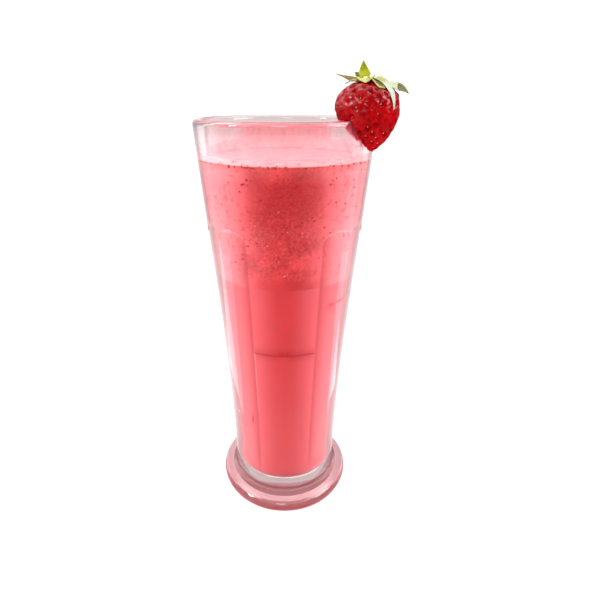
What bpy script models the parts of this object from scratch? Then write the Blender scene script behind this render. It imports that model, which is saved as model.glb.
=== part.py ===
"""Tall footed soda glass of strawberry smoothie, with a slit strawberry sitting on its rim.

Metres, +Z up. The origin is the middle of the foot's underside, and -Y is the front.
"""

import math

import bmesh
import bpy
from mathutils import Matrix, Vector

GAP = 0.0003                # clearance between neighbouring solids

# Glass: outside
GLASS_HEIGHT = 0.195
RIM_RADIUS = 0.0386         # outside, where the lip begins to round over
LIP_RADIUS = 0.0020         # half the wall at the rim, a full round
BODY_LOW_RADIUS = 0.0288    # handle that keeps the lower body slim
BODY_HIGH_RADIUS = 0.0344   # handle that flares the upper body
NECK_RADIUS = 0.0283
NECK_HEIGHT = 0.0125
FOOT_RADIUS = 0.0358
FOOT_EDGE_HEIGHT = 0.0030   # height of the foot's widest line
FOOT_TOP_HEIGHT = 0.0064
FOOT_TOP_RADIUS = 0.0294
UNDERSIDE_RADIUS = 0.0345

# Glass: flat panels round the body, each ending in an arch
PANELS = 14
COLUMNS_PER_PANEL = 6
PANEL_BOTTOM = 0.0140
PANEL_FADE = 0.0040         # height over which a panel sinks in above the foot
CUSP_HEIGHT = 0.1482        # where two arches meet
ARCH_HEIGHT = 0.0050
SHOULDER = 0.0012           # slope between a panel and the round band over it
PANEL_STEP = 0.0002         # least depth of a panel, at its edges

# Glass: inside
WALL_AT_RIM = 0.0040
WALL_AT_FLOOR = 0.0046
FLOOR_HEIGHT = 0.0128
FLOOR_ROUND = 0.0065

# Drink
DRINK_LEVEL = 0.1795
FROTH_BASE = 0.1290         # where the frothy layer meets the smooth one
DRINK_COLUMNS = 42

# Strawberry
BERRY_HEIGHT = 0.0254       # tip to shoulder
BERRY_RADIUS = 0.0117
BERRY_WIDEST = 0.64         # share of the height, from the tip
BERRY_POINT = 0.74          # below 1 is a blunter tip
BERRY_CROWN = 2.3           # higher is a squarer shoulder
BERRY_DIP = 0.0006          # hollow under the leaves
BERRY_LOBES = 0.045         # unevenness of the outline
BERRY_SIDES = 28
BERRY_RINGS = 20
BERRY_AZIMUTH = 56.0        # degrees from the front, towards +X
BERRY_OUT = 0.0380          # distance of its axis, at the tip, from the glass's axis
BERRY_TIP_HEIGHT = 0.1836
BERRY_LEAN = 4.5            # degrees, top towards -X
BERRY_BEND = 0.0016         # how far the tip curves towards +X
SEEDS = 96
SEED_SIZE = (0.00040, 0.00042, 0.00070)   # half thickness, half width, half length
SEED_SUNK = 0.00018         # depth of a seed's middle under the skin

# Leaves: direction round the stalk, length, width, slope at the root and at the tip, degrees
LEAF_THICKNESS = 0.0005
LEAF_ROWS = 7
LEAF_RIPPLE = 0.0004
LEAF_GAP = 0.0006
CROWN_RADIUS = 0.0034
CROWN_THICKNESS = 0.0009
LEAVES = (
    (104.0, 0.0066, 0.0050, 74.0, 90.0),
    (150.0, 0.0056, 0.0042, 34.0, 54.0),
    (182.0, 0.0098, 0.0036, 12.0, 26.0),
    (208.0, 0.0096, 0.0030, 10.0, -12.0),
    (294.0, 0.0080, 0.0056, 22.0, -56.0),
    (316.0, 0.0162, 0.0046, 12.0, -96.0),
    (344.0, 0.0140, 0.0048, 2.0, -30.0),
    (26.0, 0.0118, 0.0046, 12.0, -34.0),
    (62.0, 0.0104, 0.0046, 20.0, -20.0),
)


def remove_everything():
    for item in list(bpy.data.objects):
        bpy.data.objects.remove(item, do_unlink=True)


def blend(value):
    value = min(max(value, 0.0), 1.0)
    return value * value * (3.0 - 2.0 * value)


def body_radius(height):
    """Outside of the body without its panels: a cubic curve from the neck to the rim."""
    share = (height - NECK_HEIGHT) / (GLASS_HEIGHT - LIP_RADIUS - NECK_HEIGHT)
    share = min(max(share, 0.0), 1.0)
    rest = 1.0 - share
    return (rest ** 3 * NECK_RADIUS + 3.0 * rest ** 2 * share * BODY_LOW_RADIUS
            + 3.0 * rest * share ** 2 * BODY_HIGH_RADIUS + share ** 3 * RIM_RADIUS)


def bore_radius(height):
    """Inside of the body, above the rounded corner of the floor."""
    share = (height - FLOOR_HEIGHT) / (GLASS_HEIGHT - FLOOR_HEIGHT)
    wall = WALL_AT_FLOOR + (WALL_AT_RIM - WALL_AT_FLOOR) * share
    return body_radius(height) - wall


def bore_corner(steps, inset=0.0):
    """Points (radius, height) of the floor's rounded corner, from the wall down to the floor."""
    top = FLOOR_HEIGHT + FLOOR_ROUND
    middle = bore_radius(top) - FLOOR_ROUND
    points = []
    for step in range(steps + 1):
        angle = math.radians(90.0 * step / steps)
        reach = FLOOR_ROUND - inset
        points.append((middle + reach * math.cos(angle), top - reach * math.sin(angle)))
    return points


def arch(share):
    """Height of the arch over a panel, where share runs from -0.5 to 0.5 across it."""
    return ARCH_HEIGHT * math.sqrt(max(0.0, 1.0 - (2.0 * share) ** 2))


def panel_factor(share):
    """How far a flat panel lies inside the round body, as a share of its radius."""
    width = math.tau / PANELS
    return math.cos(width / 2.0) / math.cos(share * width)


def outer_rows():
    """Rows of the outside, bottom to top: (radius or None, height, arch lift, panel depth)."""
    rows = [(UNDERSIDE_RADIUS, 0.0, 0.0, 0.0)]
    for angle in (-50.0, -18.0):
        out = UNDERSIDE_RADIUS + (FOOT_RADIUS - UNDERSIDE_RADIUS) * math.cos(math.radians(angle))
        rows.append((out, FOOT_EDGE_HEIGHT * (1.0 + math.sin(math.radians(angle))), 0.0, 0.0))
    for step in range(5):
        angle = math.radians(20.0 * step)
        out = FOOT_TOP_RADIUS + (FOOT_RADIUS - FOOT_TOP_RADIUS) * math.cos(angle)
        rise = (FOOT_TOP_HEIGHT - FOOT_EDGE_HEIGHT) * math.sin(angle)
        rows.append((out, FOOT_EDGE_HEIGHT + rise, 0.0, 0.0))
    for share in (0.35, 0.7):
        out = FOOT_TOP_RADIUS + (NECK_RADIUS - FOOT_TOP_RADIUS) * math.sin(share * math.pi / 2.0)
        rise = (NECK_HEIGHT - FOOT_TOP_HEIGHT) * (0.25 + 0.75 * share)
        rows.append((out, FOOT_TOP_HEIGHT + rise, 0.0, 0.0))
    rows.append((None, PANEL_BOTTOM, 0.0, 0.0))
    rows.append((None, PANEL_BOTTOM + PANEL_FADE, 0.0, 1.0))
    for share in (0.3, 0.6, 0.85):
        rows.append((None, PANEL_BOTTOM + (CUSP_HEIGHT - PANEL_BOTTOM) * share, 0.0, 1.0))
    rows.append((None, CUSP_HEIGHT - 2.0 * SHOULDER, 0.75, 1.0))
    rows.append((None, CUSP_HEIGHT, 1.0, 1.0))
    rows.append((None, CUSP_HEIGHT + SHOULDER, 1.0, 0.0))
    rows.append((None, CUSP_HEIGHT + 2.0 * ARCH_HEIGHT, 0.3, 0.0))
    for share in (0.4, 0.72, 1.0):
        low = CUSP_HEIGHT + 2.0 * ARCH_HEIGHT
        rows.append((None, low + (GLASS_HEIGHT - LIP_RADIUS - low) * share, 0.0, 0.0))
    return rows


def inner_rows():
    """Rows from the lip over and down the inside to the edge of the floor: (radius, height)."""
    rows = []
    middle = RIM_RADIUS - LIP_RADIUS
    for step in range(1, 6):
        angle = math.radians(30.0 * step)
        high = GLASS_HEIGHT - LIP_RADIUS + LIP_RADIUS * math.sin(angle)
        rows.append((middle + LIP_RADIUS * math.cos(angle), high))
    corner = bore_corner(4)
    top = GLASS_HEIGHT - LIP_RADIUS
    for share in (0.0, 0.08, 0.3, 0.52, 0.76):
        height = top + (corner[0][1] - top) * share
        rows.append((bore_radius(height), height))
    return rows + corner


def ring_point(radius, angle, height):
    """A point of a ring, with angle 0 at the front."""
    return Vector((radius * math.sin(angle), -radius * math.cos(angle), height))


def skin_rings(mesh, rings, close_start=True, close_end=True):
    """Quads between rings of vertices, each ring anticlockwise from above and the rings going up."""
    for low, high in zip(rings, rings[1:]):
        count = len(low)
        for index in range(count):
            after = (index + 1) % count
            mesh.faces.new((low[index], low[after], high[after], high[index]))
    if close_start:
        mesh.faces.new(list(reversed(rings[0])))
    if close_end:
        mesh.faces.new(rings[-1])


def finish_object(mesh, name, material, sharp_angle=35.0):
    data = bpy.data.meshes.new(name)
    mesh.to_mesh(data)
    mesh.free()
    data.shade_smooth()
    data.set_sharp_from_angle(angle=math.radians(sharp_angle))
    data.materials.append(material)
    item = bpy.data.objects.new(name, data)
    bpy.context.scene.collection.objects.link(item)
    return item


def make_material(name, color, roughness, metallic=0.0, transmission=0.0):
    material = bpy.data.materials.new(name)
    material.use_nodes = True
    shader = material.node_tree.nodes["Principled BSDF"]
    shader.inputs["Base Color"].default_value = (*color, 1.0)
    shader.inputs["Roughness"].default_value = roughness
    shader.inputs["Metallic"].default_value = metallic
    shader.inputs["Transmission Weight"].default_value = transmission
    material.diffuse_color = (*color, 1.0)
    return material


def make_glass():
    mesh = bmesh.new()
    columns = PANELS * COLUMNS_PER_PANEL
    rings = []
    for radius, height, lift, depth in outer_rows():
        ring = []
        for column in range(columns):
            share = (column % COLUMNS_PER_PANEL) / COLUMNS_PER_PANEL - 0.5
            level = height + lift * arch(share)
            reach = radius
            if reach is None:
                reach = body_radius(level)
                reach += depth * (reach * (panel_factor(share) - 1.0) - PANEL_STEP)
            ring.append(mesh.verts.new(ring_point(reach, math.tau * column / columns, level)))
        rings.append(ring)
    for radius, height in inner_rows():
        ring = []
        for column in range(columns):
            ring.append(mesh.verts.new(ring_point(radius, math.tau * column / columns, height)))
        rings.append(ring)
    skin_rings(mesh, rings)
    material = make_material("clear_glass", (0.93, 0.95, 0.95), 0.03, transmission=1.0)
    return finish_object(mesh, "glass", material)


def turned_solid(name, profile, columns, material):
    """A solid turned round the glass's axis from points (radius, height) going up its outside."""
    mesh = bmesh.new()
    rings = []
    for radius, height in profile:
        ring = []
        for column in range(columns):
            ring.append(mesh.verts.new(ring_point(radius, math.tau * column / columns, height)))
        rings.append(ring)
    skin_rings(mesh, rings)
    return finish_object(mesh, name, material)


def make_drink():
    corner = bore_corner(4, inset=GAP)
    profile = list(reversed(corner))
    for share in (0.33, 0.66, 1.0):
        height = profile[4][1] + (FROTH_BASE - GAP - profile[4][1]) * share
        profile.append((bore_radius(height) - GAP, height))
    smooth = make_material("smooth_strawberry", (0.86, 0.20, 0.20), 0.35)
    turned_solid("juice", profile, DRINK_COLUMNS, smooth)

    profile = []
    for share in (0.0, 0.35, 0.7, 1.0):
        height = FROTH_BASE + (DRINK_LEVEL - FROTH_BASE) * share
        profile.append((bore_radius(height) - GAP, height))
    frothy = make_material("strawberry_froth", (0.84, 0.22, 0.24), 0.55)
    turned_solid("froth", profile, DRINK_COLUMNS, frothy)


def berry_profile(share):
    """Radius of the strawberry, where share runs from the tip, 0, to the shoulder, 1."""
    if share <= BERRY_WIDEST:
        return BERRY_RADIUS * math.sin(share / BERRY_WIDEST * math.pi / 2.0) ** BERRY_POINT
    above = (share - BERRY_WIDEST) / (1.0 - BERRY_WIDEST)
    return BERRY_RADIUS * math.sqrt(max(0.0, 1.0 - above ** BERRY_CROWN))


def berry_point(share, angle):
    """A point on the strawberry's skin, in its own frame: the tip at 0 and the stalk at +Z."""
    uneven = 1.0 + BERRY_LOBES * math.sin(2.0 * angle + 0.6) * math.sin(math.pi * share)
    uneven += 0.5 * BERRY_LOBES * math.sin(3.0 * angle + 2.2)
    radius = berry_profile(share) * uneven
    height = BERRY_HEIGHT * share
    if share > BERRY_WIDEST:
        height -= berry_dip(radius)
    bend = BERRY_BEND * (1.0 - share) ** 2
    return Vector((radius * math.cos(angle) + bend, radius * math.sin(angle), height))


def berry_dip(radius):
    """Depth of the hollow under the leaves."""
    return BERRY_DIP * blend(1.0 - radius / (0.75 * BERRY_RADIUS))


def seed_places():
    """Seeds on a spiral, evenly spread over the skin: (share, angle)."""
    samples = 400
    area = [0.0]
    for index in range(samples):
        low = berry_point(index / samples, 0.0)
        high = berry_point((index + 1) / samples, 0.0)
        area.append(area[-1] + (low.x + high.x) * (high - low).length)
    places = []
    spiral = math.pi * (3.0 - math.sqrt(5.0))
    reached = 0
    for index in range(SEEDS):
        wanted = area[-1] * (0.01 + 0.9 * (index + 0.5) / SEEDS)
        while area[reached] < wanted:
            reached += 1
        places.append((reached / samples, (index * spiral) % math.tau))
    return places


def berry_frame():
    middle = ring_point(BERRY_OUT, math.radians(BERRY_AZIMUTH), BERRY_TIP_HEIGHT)
    lean = Matrix.Rotation(math.radians(-BERRY_LEAN), 4, "Y")
    return Matrix.Translation(middle) @ lean


def berry_rings():
    """Shares of the rings, closer together at the tip and under the leaves."""
    shares = []
    for ring in range(1, BERRY_RINGS):
        shares.append(0.5 - 0.5 * math.cos(math.pi * ring / BERRY_RINGS))
    return shares


def make_berry_body(material):
    mesh = bmesh.new()
    rings = []
    for share in berry_rings():
        ring = []
        for side in range(BERRY_SIDES):
            ring.append(mesh.verts.new(berry_point(share, math.tau * side / BERRY_SIDES)))
        rings.append(ring)
    skin_rings(mesh, rings, close_start=False, close_end=False)
    tip = mesh.verts.new((BERRY_BEND, 0.0, 0.0))
    top = mesh.verts.new((0.0, 0.0, BERRY_HEIGHT - BERRY_DIP))
    for side in range(BERRY_SIDES):
        after = (side + 1) % BERRY_SIDES
        mesh.faces.new((tip, rings[0][after], rings[0][side]))
        mesh.faces.new((top, rings[-1][side], rings[-1][after]))
    mesh.transform(berry_frame())
    return finish_object(mesh, "strawberry", material, sharp_angle=60.0)


def make_seeds(places, collection, material):
    """One small seed in each place, its long way towards the stalk."""
    for index, (share, angle) in enumerate(places):
        here = berry_point(share, angle)
        above = berry_point(min(share + 0.02, 1.0), angle)
        beside = berry_point(share, angle + 0.05)
        along = (above - here).normalized()
        out = (beside - here).cross(along).normalized()
        side = along.cross(out)
        turn = Matrix((out, side, along)).transposed().to_4x4()
        mesh = bmesh.new()
        bmesh.ops.create_icosphere(mesh, subdivisions=1, radius=1.0)
        bmesh.ops.scale(mesh, vec=SEED_SIZE, verts=mesh.verts)
        place = Matrix.Translation(here - out * SEED_SUNK) @ turn
        mesh.transform(berry_frame() @ place)
        seed = finish_object(mesh, "seed_%02d" % index, material)
        bpy.context.scene.collection.objects.unlink(seed)
        collection.objects.link(seed)


def make_slit_cutter():
    """A closed ring round the wall of the glass, larger all over by the gap."""
    mesh = bmesh.new()
    columns = PANELS * COLUMNS_PER_PANEL
    low = BERRY_TIP_HEIGHT - 0.004
    shoulder = GLASS_HEIGHT - LIP_RADIUS
    middle = RIM_RADIUS - LIP_RADIUS
    profile = [(body_radius(low) + GAP, low)]
    for step in range(7):
        angle = math.radians(30.0 * step)
        reach = LIP_RADIUS + GAP
        profile.append((middle + reach * math.cos(angle), shoulder + reach * math.sin(angle)))
    profile.append((bore_radius(low) - GAP, low))
    rings = []
    for radius, height in profile:
        ring = []
        for column in range(columns):
            ring.append(mesh.verts.new(ring_point(radius, math.tau * column / columns, height)))
        rings.append(ring)
    rings.append(rings[0])
    skin_rings(mesh, rings, close_start=False, close_end=False)
    cutter = finish_object(mesh, "slit_cutter", make_material("cutter", (0.5, 0.5, 0.5), 0.5))
    cutter.hide_render = True
    cutter.display_type = "WIRE"
    return cutter


def apply_modifiers(item):
    graph = bpy.context.evaluated_depsgraph_get()
    shaped = bpy.data.meshes.new_from_object(item.evaluated_get(graph))
    item.modifiers.clear()
    item.data = shaped


def keep_largest_shell(item):
    """Fill the hollows that fusing seals, and drop loose scraps."""
    mesh = bmesh.new()
    mesh.from_mesh(item.data)
    waiting = set(mesh.faces)
    shells = []
    while waiting:
        edge_of_shell = [waiting.pop()]
        shell = []
        while edge_of_shell:
            face = edge_of_shell.pop()
            shell.append(face)
            for edge in face.edges:
                for other in edge.link_faces:
                    if other in waiting:
                        waiting.remove(other)
                        edge_of_shell.append(other)
        shells.append(shell)
    shells.sort(key=len)
    for shell in shells[:-1]:
        bmesh.ops.delete(mesh, geom=shell, context="FACES")
    mesh.to_mesh(item.data)
    mesh.free()


def unite(item, collection):
    """Fuse a collection's objects onto one object, then remove them."""
    joined = item.modifiers.new("fuse", "BOOLEAN")
    joined.operation = "UNION"
    joined.operand_type = "COLLECTION"
    joined.collection = collection
    joined.solver = "EXACT"
    apply_modifiers(item)
    keep_largest_shell(item)
    for part in list(collection.objects):
        bpy.data.objects.remove(part, do_unlink=True)
    bpy.data.collections.remove(collection)


def new_collection(name):
    collection = bpy.data.collections.new(name)
    bpy.context.scene.collection.children.link(collection)
    return collection


def make_strawberry():
    red = make_material("ripe_strawberry", (0.62, 0.02, 0.03), 0.22)
    places = seed_places()
    berry = make_berry_body(red)
    seeds = new_collection("seeds")
    make_seeds(places, seeds, red)
    unite(berry, seeds)
    slit = berry.modifiers.new("slit", "BOOLEAN")
    slit.operation = "DIFFERENCE"
    slit.solver = "EXACT"
    slit.object = make_slit_cutter()


def clear_of_berry(point):
    """Push a leaf's point away from the berry's middle until it is clear of the skin."""
    middle = Vector((0.0, 0.0, BERRY_HEIGHT * BERRY_WIDEST))
    step = 0.0001
    for _ in range(80):
        share = point.z / BERRY_HEIGHT
        if share >= 1.0 + LEAF_GAP / BERRY_HEIGHT:
            break
        radius = math.hypot(point.x, point.y)
        inner = berry_profile(min(share, 0.999)) * (1.0 + 1.5 * BERRY_LOBES)
        if radius > inner + LEAF_GAP and share < 0.9:
            break
        if share >= 0.9 and point.z > berry_cap(radius) + LEAF_GAP:
            break
        point = point + (point - middle).normalized() * step
    return point


def berry_cap(radius):
    """Height of the strawberry's top at a distance from its axis."""
    share = min(radius / (BERRY_RADIUS * (1.0 + 1.5 * BERRY_LOBES)), 1.0)
    above = (1.0 - share * share) ** (1.0 / BERRY_CROWN)
    return BERRY_HEIGHT * (BERRY_WIDEST + (1.0 - BERRY_WIDEST) * above) - berry_dip(radius)


def crown_height():
    """Middle of the crown, which rests just clear of the hollow in the top."""
    return BERRY_HEIGHT - BERRY_DIP + 1.2 * GAP + 0.5 * CROWN_THICKNESS


def leaf_width(share):
    """Half width along a leaf: a narrow root, full at a third, and a pointed tip."""
    return (0.42 + 0.58 * blend(share / 0.35)) * (1.0 - share ** 2.2) + 0.08


def make_leaf(index, leaf, collection, material):
    azimuth, length, width, root_slope, tip_slope = leaf
    heading = math.radians(azimuth)
    ahead = Vector((math.cos(heading), math.sin(heading), 0.0))
    across = Vector((-math.sin(heading), math.cos(heading), 0.0))
    place = ahead * (0.35 * CROWN_RADIUS)
    place.z = crown_height()
    mesh = bmesh.new()
    rings = []
    for row in range(LEAF_ROWS + 1):
        share = row / LEAF_ROWS
        slope = math.radians(root_slope + (tip_slope - root_slope) * share)
        up = Vector((0.0, 0.0, math.cos(slope))) - ahead * math.sin(slope)
        half = 0.5 * width * leaf_width(share)
        ripple = LEAF_RIPPLE * leaf_width(share) * math.sin(2.4 * math.pi * share + index)
        centre = clear_of_berry(place + up * ripple)
        left = clear_of_berry(place - across * half + up * (0.25 * half - ripple))
        right = clear_of_berry(place + across * half + up * (0.25 * half - ripple))
        half_thick = up * (0.5 * LEAF_THICKNESS)
        loop = (left - half_thick, centre - half_thick, right - half_thick,
                right + half_thick, centre + half_thick, left + half_thick)
        rings.append([mesh.verts.new(point) for point in loop])
        forward = ahead * math.cos(slope) + Vector((0.0, 0.0, math.sin(slope)))
        place = place + forward * (length / LEAF_ROWS)
    skin_rings(mesh, rings)
    bmesh.ops.recalc_face_normals(mesh, faces=mesh.faces)
    mesh.transform(berry_frame())
    leaf_object = finish_object(mesh, "leaf_%d" % index, material)
    bpy.context.scene.collection.objects.unlink(leaf_object)
    collection.objects.link(leaf_object)


def make_calyx():
    """The crown of leaves, one solid with a round middle."""
    green = make_material("strawberry_leaf", (0.42, 0.46, 0.10), 0.5)
    mesh = bmesh.new()
    bmesh.ops.create_uvsphere(mesh, u_segments=12, v_segments=6, radius=1.0)
    bmesh.ops.scale(mesh, vec=(CROWN_RADIUS, CROWN_RADIUS, 0.5 * CROWN_THICKNESS), verts=mesh.verts)
    mesh.transform(berry_frame() @ Matrix.Translation((0.0, 0.0, crown_height())))
    crown = finish_object(mesh, "calyx", green)
    leaves = new_collection("leaves")
    for index, leaf in enumerate(LEAVES):
        make_leaf(index, leaf, leaves, green)
    unite(crown, leaves)


def main():
    remove_everything()
    make_glass()
    make_drink()
    make_strawberry()
    make_calyx()


main()
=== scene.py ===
import math
import random

import bpy
from mathutils import Matrix, Vector, noise
from mathutils.bvhtree import BVHTree
from mathutils.kdtree import KDTree


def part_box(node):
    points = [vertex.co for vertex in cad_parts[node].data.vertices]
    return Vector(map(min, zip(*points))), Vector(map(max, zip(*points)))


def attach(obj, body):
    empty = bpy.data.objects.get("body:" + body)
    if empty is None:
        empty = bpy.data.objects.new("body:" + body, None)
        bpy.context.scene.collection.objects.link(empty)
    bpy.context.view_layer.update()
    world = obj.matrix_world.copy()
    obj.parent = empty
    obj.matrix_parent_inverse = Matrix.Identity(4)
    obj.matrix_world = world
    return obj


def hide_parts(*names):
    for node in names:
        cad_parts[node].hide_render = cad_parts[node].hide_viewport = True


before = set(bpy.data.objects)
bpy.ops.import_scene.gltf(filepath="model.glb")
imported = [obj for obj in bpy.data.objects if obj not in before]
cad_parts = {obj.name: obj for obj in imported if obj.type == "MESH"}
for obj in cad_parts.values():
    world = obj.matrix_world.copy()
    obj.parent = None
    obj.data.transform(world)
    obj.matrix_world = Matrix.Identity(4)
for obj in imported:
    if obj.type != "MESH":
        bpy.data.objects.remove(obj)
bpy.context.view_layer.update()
print("frame loaded:", ", ".join(sorted(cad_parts)))

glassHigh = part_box("glass")[1]
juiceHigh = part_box("juice")[1]
frothLow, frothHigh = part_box("froth")

# in metres and degrees throughout; a value in radians says so
glass = {
    "height": glassHigh.z,
    "rimRadius": glassHigh.x,
    "lip": 0.0020,  # half the wall at the rim, a full round
    "lowHandle": 0.0288,  # the two handles that shape the taper
    "highHandle": 0.0344,
    "neckRadius": 0.0283,
    "neckHeight": 0.0125,
    "neckStep": 0.2,  # share of the neck's height that its lowest ring skips
    "footRadius": 0.0358,
    "footEdge": 0.0030,
    "footTop": 0.0064,
    "footTopRadius": 0.0294,
    "underside": 0.0345,
    "wallAtRim": 0.0040,
    "wallAtFloor": 0.0046,
    "floor": 0.0128,
    "floorRound": 0.0065,
    "panels": 14,
    "columnsPerPanel": 16,
    "bodyRows": 26,
    "fadeRows": 10,
    "edgePull": 0.55,  # draws the columns towards the panels' edges
    "panelBottom": 0.0150,
    "panelFade": 0.0170,
    "panelBulge": 0.55,  # 0 is a flat panel, 1 is as round as the body
    "cusp": 0.1482,  # where two arches meet
    "arch": 0.0050,
    "panelStep": 0.0002,
    "shoulder": 0.0010,
    "ledges": (  # height, dip in the middle and tilt, for each pair of panels
        (0.0963, 0.0007, 0.0), (0.1200, 0.0003, 0.0081), (0.0640, 0.0006, 0.0), (0.0963, 0.0012, 0.0),
        (0.1256, 0.0005, 0.0), (0.0963, 0.0010, 0.0), (0.0540, 0.0004, 0.0170)),
    "ledgeStep": 0.00012,
    "ledgeSlope": 0.00022,
    "dipWidth": 0.12,  # in radians
    "dipReach": 0.006,  # how far above and below a ledge its dip and its tilt fade out
    "tiltReach": 0.025,
    "grooveEdge": 0.02,  # a shallow groove past the border of each pair, both in radians
    "grooveWidth": 0.17,
    "grooveDepth": 0.00020,
    "ledgeShadeReach": 0.0008,  # how far the painted dark shade reaches from a ledge, and how strongly it is painted along the arches and the grooves
    "archShade": 0.5,
    "grooveShade": 0.75,
}


def blend(value):
    value = min(max(value, 0.0), 1.0)
    return value * value * (3.0 - 2.0 * value)


def bodyRadius(height):
    # outside of the body without its panels: a cubic curve from the neck to the rim
    share = (height - glass["neckHeight"]) / (glass["height"] - glass["lip"] - glass["neckHeight"])
    share = min(max(share, 0.0), 1.0)
    rest = 1.0 - share
    return (rest ** 3 * glass["neckRadius"] + 3.0 * rest ** 2 * share * glass["lowHandle"]
            + 3.0 * rest * share ** 2 * glass["highHandle"] + share ** 3 * glass["rimRadius"])


def boreRadius(height):
    share = (height - glass["floor"]) / (glass["height"] - glass["floor"])
    wall = glass["wallAtFloor"] + (glass["wallAtRim"] - glass["wallAtFloor"]) * share
    return bodyRadius(height) - wall


def wallRows(radiusOf, start, end, count, extra=0.0, first=1):
    # rings (radius, height) up or down a wall, whose radius is known at each height
    heights = [start + (end - start) * step / count for step in range(first, count + 1)]
    return [(radiusOf(height) + extra, height) for height in heights]


def arcRows(middle, reach, angles):
    # rings round an edge: degrees up from straight out, about a middle (radius, height)
    turns = [math.radians(angle) for angle in angles]
    return [(middle[0] + reach[0] * math.cos(turn), middle[1] + reach[1] * math.sin(turn)) for turn in turns]


def ringPoint(radius, angle, height):
    # angle 0 is the front, and it turns towards +X
    return Vector((radius * math.sin(angle), -radius * math.cos(angle), height))


def frontAngle(point):
    return math.atan2(point.x, -point.y)


def deselectAll():
    if bpy.context.object and bpy.context.object.mode != "OBJECT":
        bpy.ops.object.mode_set(mode="OBJECT")
    bpy.ops.object.select_all(action="DESELECT")


def pick(piece):
    deselectAll()
    piece.select_set(True)
    bpy.context.view_layer.objects.active = piece


def editAll(piece, kind="FACE"):
    pick(piece)
    bpy.ops.object.mode_set(mode="EDIT")
    bpy.ops.mesh.select_mode(type=kind)
    bpy.ops.mesh.select_all(action="SELECT")


def backToObject():
    bpy.ops.object.mode_set(mode="OBJECT")


def newPrimitive(name):
    piece = bpy.context.object
    piece.name = name
    piece.data.name = name
    bpy.ops.object.transform_apply(location=True, rotation=True, scale=True)
    return piece


def tidyNormals(piece, mergeBelow=0.000001):
    editAll(piece, "VERT")
    bpy.ops.mesh.remove_doubles(threshold=mergeBelow)
    bpy.ops.mesh.normals_make_consistent(inside=False)
    backToObject()


def smooth(piece, angle):
    pick(piece)
    bpy.ops.object.shade_smooth_by_angle(angle=math.radians(angle))


def finishMesh(piece, angle=40.0):
    tidyNormals(piece)
    smooth(piece, angle)
    return piece


def applyModifiers(piece):
    pick(piece)
    for modifier in list(piece.modifiers):
        bpy.ops.object.modifier_apply(modifier=modifier.name)


def subdivideOnce(piece):
    soft = piece.modifiers.new("soft", "SUBSURF")
    soft.levels = 1
    soft.render_levels = 1


def pullRings(name, rows, columns, filled=True):
    # pulled up ring by ring, as a glass is drawn from its foot: from a disc, or from a bare ring
    deselectAll()
    radius, height = rows[0]
    bpy.ops.mesh.primitive_circle_add(vertices=columns, radius=radius, location=(0.0, 0.0, height),
                                      fill_type="NGON" if filled else "NOTHING")
    piece = newPrimitive(name)
    editAll(piece, "FACE" if filled else "EDGE")
    extrude = bpy.ops.mesh.extrude_region_move if filled else bpy.ops.mesh.extrude_edges_move
    for nextRadius, nextHeight in rows[1:]:
        extrude(TRANSFORM_OT_translate={"value": (0.0, 0.0, nextHeight - height)})
        scale = nextRadius / radius
        bpy.ops.transform.resize(value=(scale, scale, 1.0), center_override=(0.0, 0.0, nextHeight))
        radius, height = nextRadius, nextHeight
    backToObject()
    return piece


def stampCopies(model, places, name):
    # one mesh of many copies of a small model, each at its own place
    vertices = [vertex.co.copy() for vertex in model.data.vertices]
    loops = [tuple(face.vertices) for face in model.data.polygons]
    points = []
    faces = []
    for place in places:
        start = len(points)
        points.extend(place @ point for point in vertices)
        faces.extend(tuple(start + corner for corner in loop) for loop in loops)
    data = bpy.data.meshes.new(name)
    data.from_pydata(points, [], faces)
    piece = bpy.data.objects.new(name, data)
    bpy.context.scene.collection.objects.link(piece)
    bpy.data.objects.remove(model)
    smooth(piece, 60.0)
    return piece


def addNode(tree, kind, **values):
    node = tree.nodes.new(kind)
    count = len(tree.nodes)
    node.location = (-240 * (count % 8), 260 * (count // 8))  # spread out, to be read in the editor
    for label, value in values.items():
        setattr(node, label, value)
    return node


def plug(socket, value):
    # a link from another node's socket, or else a value; colours need no alpha
    if isinstance(value, bpy.types.NodeSocket):
        socket.id_data.links.new(value, socket)
    else:
        socket.default_value = (*value[:3], 1.0) if socket.type == "RGBA" else value


def feed(node, **inputs):
    for label, value in inputs.items():
        plug(node.inputs[label.replace("_", " ")], value)
    return node


def newMaterial(name, color, roughness, **values):
    # radii of the glow under the surface are in metres, at a scale of 1
    material = bpy.data.materials.new(name)
    material.use_nodes = True
    material.diffuse_color = (*color, 1.0)
    tree = material.node_tree
    shader = tree.nodes["Principled BSDF"]
    feed(shader, Base_Color=color, Roughness=roughness, Subsurface_Scale=1.0, **values)
    return material, tree, shader


def newGroup(name, inputs, outputs):
    # a node group with named inputs (label: value) and outputs (label: kind of socket)
    tree = bpy.data.node_groups.new(name, "ShaderNodeTree")
    for label, value in inputs.items():
        kind = "NodeSocketColor" if isinstance(value, tuple) else "NodeSocketFloat"
        tree.interface.new_socket(label, in_out="INPUT", socket_type=kind).default_value = value
    for label, kind in outputs.items():
        tree.interface.new_socket(label, in_out="OUTPUT", socket_type=kind)
    return tree, addNode(tree, "NodeGroupInput").outputs, addNode(tree, "NodeGroupOutput")


def useGroup(tree, group, **inputs):
    return feed(addNode(tree, "ShaderNodeGroup", node_tree=group), **inputs).outputs


def tintOver(color, *layers):
    # more colours over the colour so far, each (mask, colour), where its mask is 1
    for mask, tone in layers:
        mix = addNode(mask.id_data, "ShaderNodeMix", data_type="RGBA")
        plug(mix.inputs["Factor"], mask)
        plug(mix.inputs[6], color)  # a Mix node's colours are its inputs 6 and 7, and its output 2
        plug(mix.inputs[7], tone)
        color = mix.outputs[2]
    return color


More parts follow.
